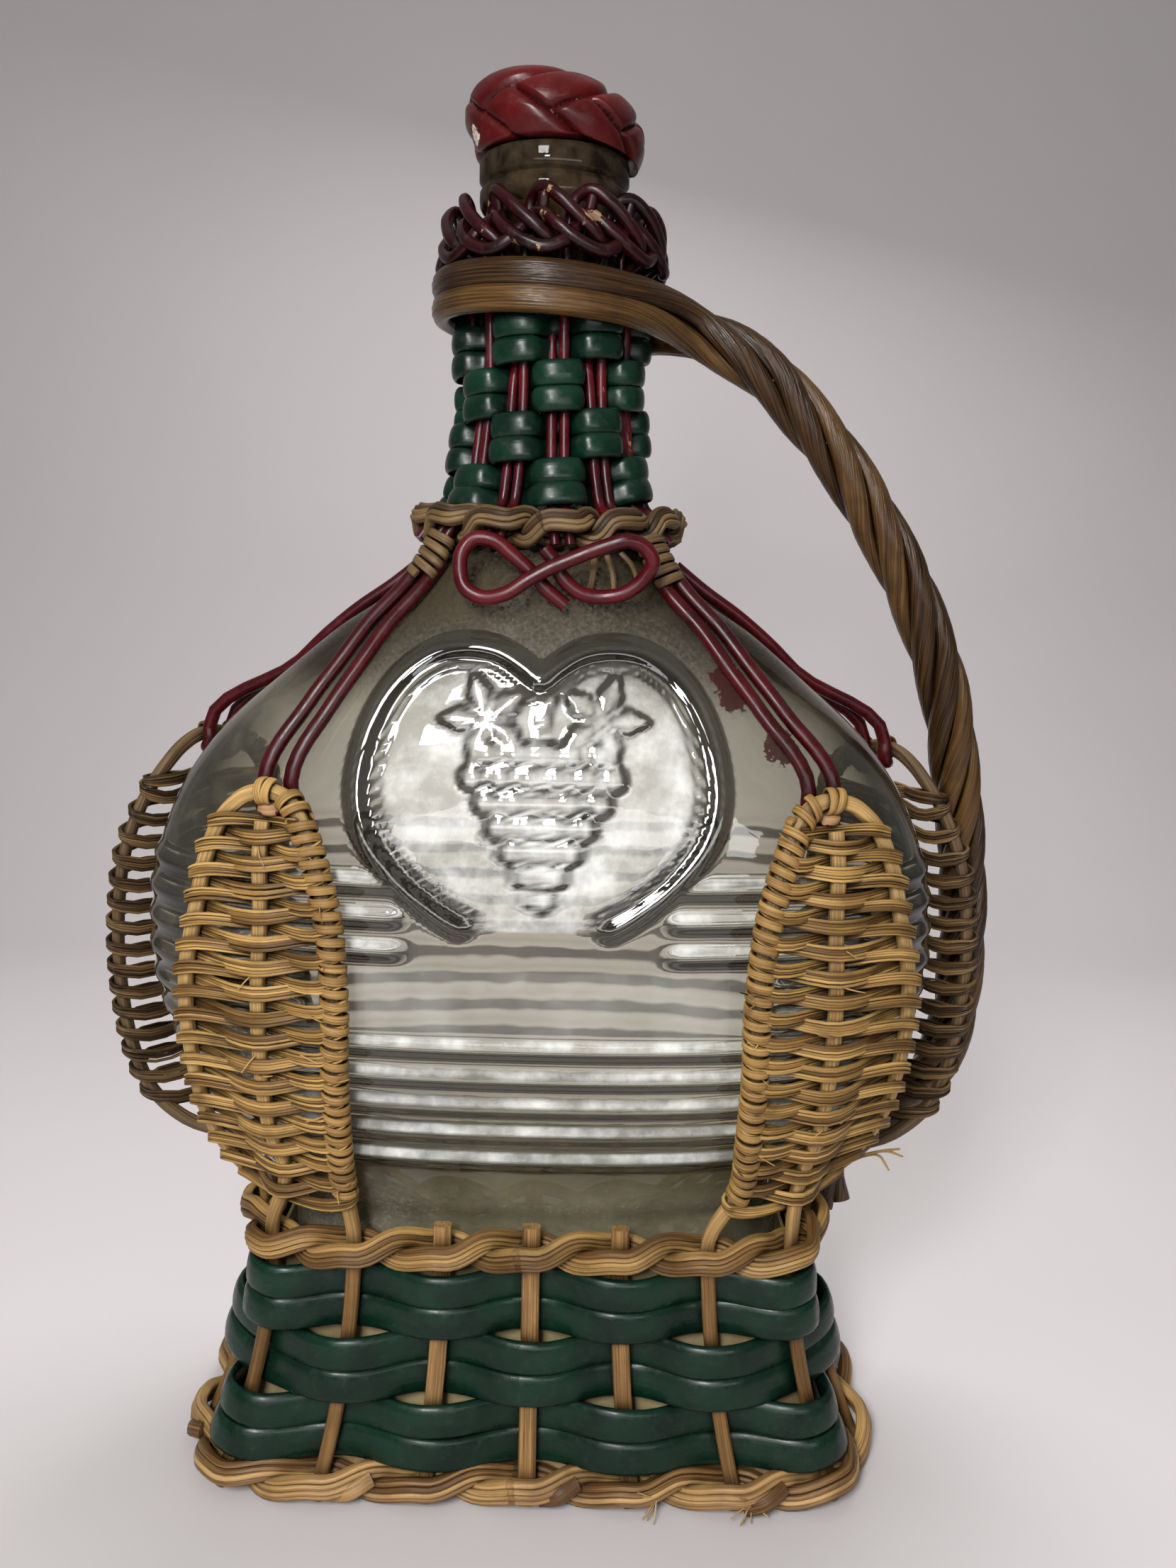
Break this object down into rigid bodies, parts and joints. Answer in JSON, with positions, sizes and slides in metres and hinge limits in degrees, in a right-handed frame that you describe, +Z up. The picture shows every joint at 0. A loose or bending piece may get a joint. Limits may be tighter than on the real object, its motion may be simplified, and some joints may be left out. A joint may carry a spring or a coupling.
{
  "type": "wicker-covered carafe",
  "caption": "Flat clear-glass flask carafe in a woven cane basket with side panels, a woven neck sleeve, a twisted cane handle and a red lift-out stopper",
  "frame": {"origin": "the middle of the base board's underside, on the surface that the carafe stands on", "axes": "+Z up along the neck, +X towards the handle, the broad front with the heart faces -Y"},
  "size_m": [0.2133, 0.087, 0.3047],
  "materials": {
    "clear_glass": "clear moulded glass, dusty",
    "cork": "natural cork",
    "red_plastic": "glossy dark red",
    "base_wood": "bare softwood",
    "liner_card": "golden card",
    "green_strip": "very dark green, glossy",
    "foot_cane": "natural cane, browned",
    "rim_cane": "natural cane",
    "panel_cane": "split cane, straw-coloured",
    "maroon_strand": "dark maroon, glossy and worn",
    "collar_cane": "dull brown cane",
    "handle_cane": "brown-gold whole cane"
  },
  "bodies": {
    "carafe": {"base_board": "base_wood", "basket_liner": "liner_card", "basket_strip_1_lower": "green_strip", "basket_strip_1_upper": "green_strip", "basket_strip_2_lower": "green_strip", "basket_strip_2_upper": "green_strip", "basket_strip_3_lower": "green_strip", "basket_strip_3_upper": "green_strip", "centre_rod_back_left": "panel_cane", "centre_rod_back_right": "panel_cane", "centre_rod_front_left": "panel_cane", "centre_rod_front_right": "panel_cane", "collar_strand": "collar_cane", "foot_strand_a": "foot_cane", "foot_strand_b": "foot_cane", "frame_rod_back_left": "panel_cane", "frame_rod_back_right": "panel_cane", "frame_rod_front_left": "panel_cane", "frame_rod_front_right": "panel_cane", "front_bow": "maroon_strand", "glass_bottle": "clear_glass", "handle_cane_lower": "handle_cane", "handle_cane_upper": "handle_cane", "hanger_back_left": "maroon_strand", "hanger_back_right": "maroon_strand", "hanger_front_left": "maroon_strand", "hanger_front_right": "maroon_strand", "neck_hairpin_01": "maroon_strand", "neck_hairpin_02": "maroon_strand", "neck_hairpin_03": "maroon_strand", "neck_hairpin_04": "maroon_strand", "neck_hairpin_05": "maroon_strand", "neck_hairpin_06": "maroon_strand", "neck_hairpin_07": "maroon_strand", "neck_hairpin_08": "maroon_strand", "neck_hairpin_09": "maroon_strand", "neck_hairpin_10": "maroon_strand", "neck_hairpin_11": "maroon_strand", "neck_hairpin_12": "maroon_strand", "neck_hairpin_13": "maroon_strand", "neck_strip_lower": "green_strip", "neck_strip_upper": "green_strip", "panel_weaver_back_left": "panel_cane", "panel_weaver_back_right": "panel_cane", "panel_weaver_front_left": "panel_cane", "panel_weaver_front_right": "panel_cane", "rim_strand_a": "rim_cane", "rim_strand_b": "rim_cane", "short_stake_back_1": "foot_cane", "short_stake_back_2": "foot_cane", "short_stake_back_3": "foot_cane", "short_stake_front_1": "foot_cane", "short_stake_front_2": "foot_cane", "short_stake_front_3": "foot_cane"},
    "stopper": {"stopper_cork": "cork", "stopper_cap": "red_plastic"}
  },
  "joints": [
    {"name": "stopper_lift", "type": "slide", "parent": "carafe", "child": "stopper", "axis": [0, 0, 1], "range_m": [0, 0.045]}
  ]
}
